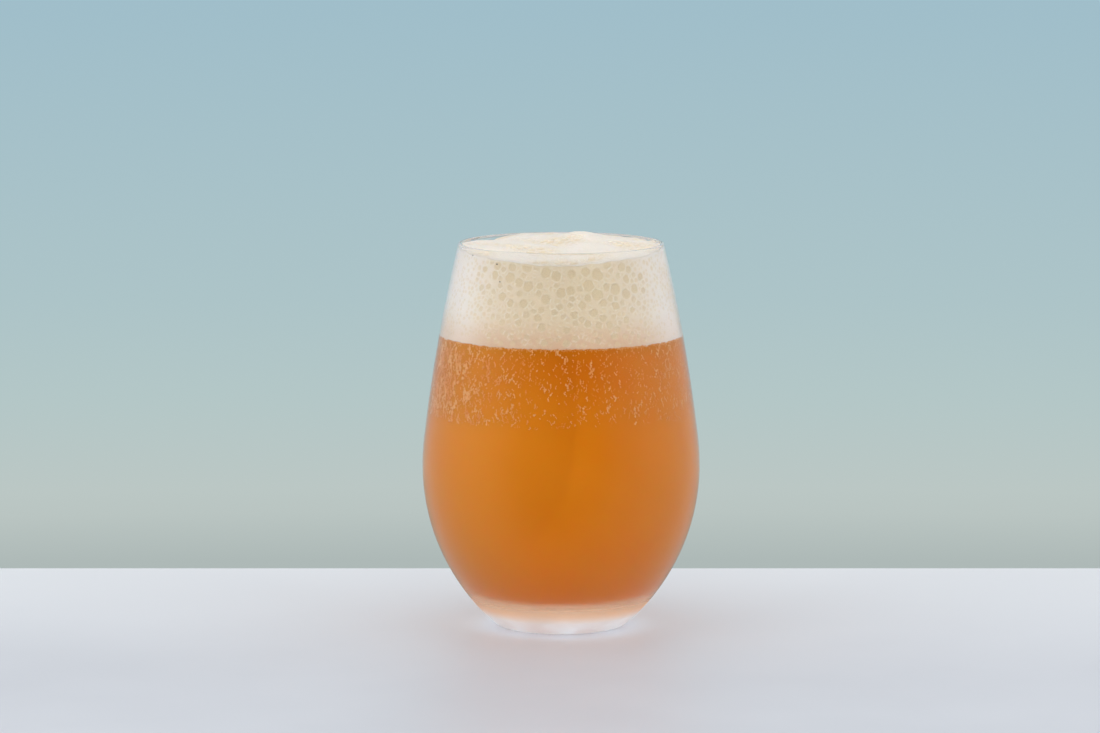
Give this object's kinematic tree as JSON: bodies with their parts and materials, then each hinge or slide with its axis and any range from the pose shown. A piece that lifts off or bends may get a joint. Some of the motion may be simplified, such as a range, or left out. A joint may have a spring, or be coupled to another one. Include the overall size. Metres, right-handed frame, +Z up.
{
  "type": "pint of beer",
  "caption": "Stemless egg-shaped glass filled with hazy amber beer under a thick, uneven head of foam.",
  "frame": {"origin": "centre of the glass's foot, on the surface it stands on", "axes": "+Z up along the axis of the glass; -Y is the side that faces the viewer"},
  "size_m": [0.0878, 0.0878, 0.1246],
  "materials": {
    "glass": "clear, polished",
    "beer": "hazy amber liquid",
    "foam": "fine white foam with open cells"
  },
  "bodies": {
    "root": {"glass": "glass", "beer": "beer", "foam": "foam"}
  },
  "joints": []
}
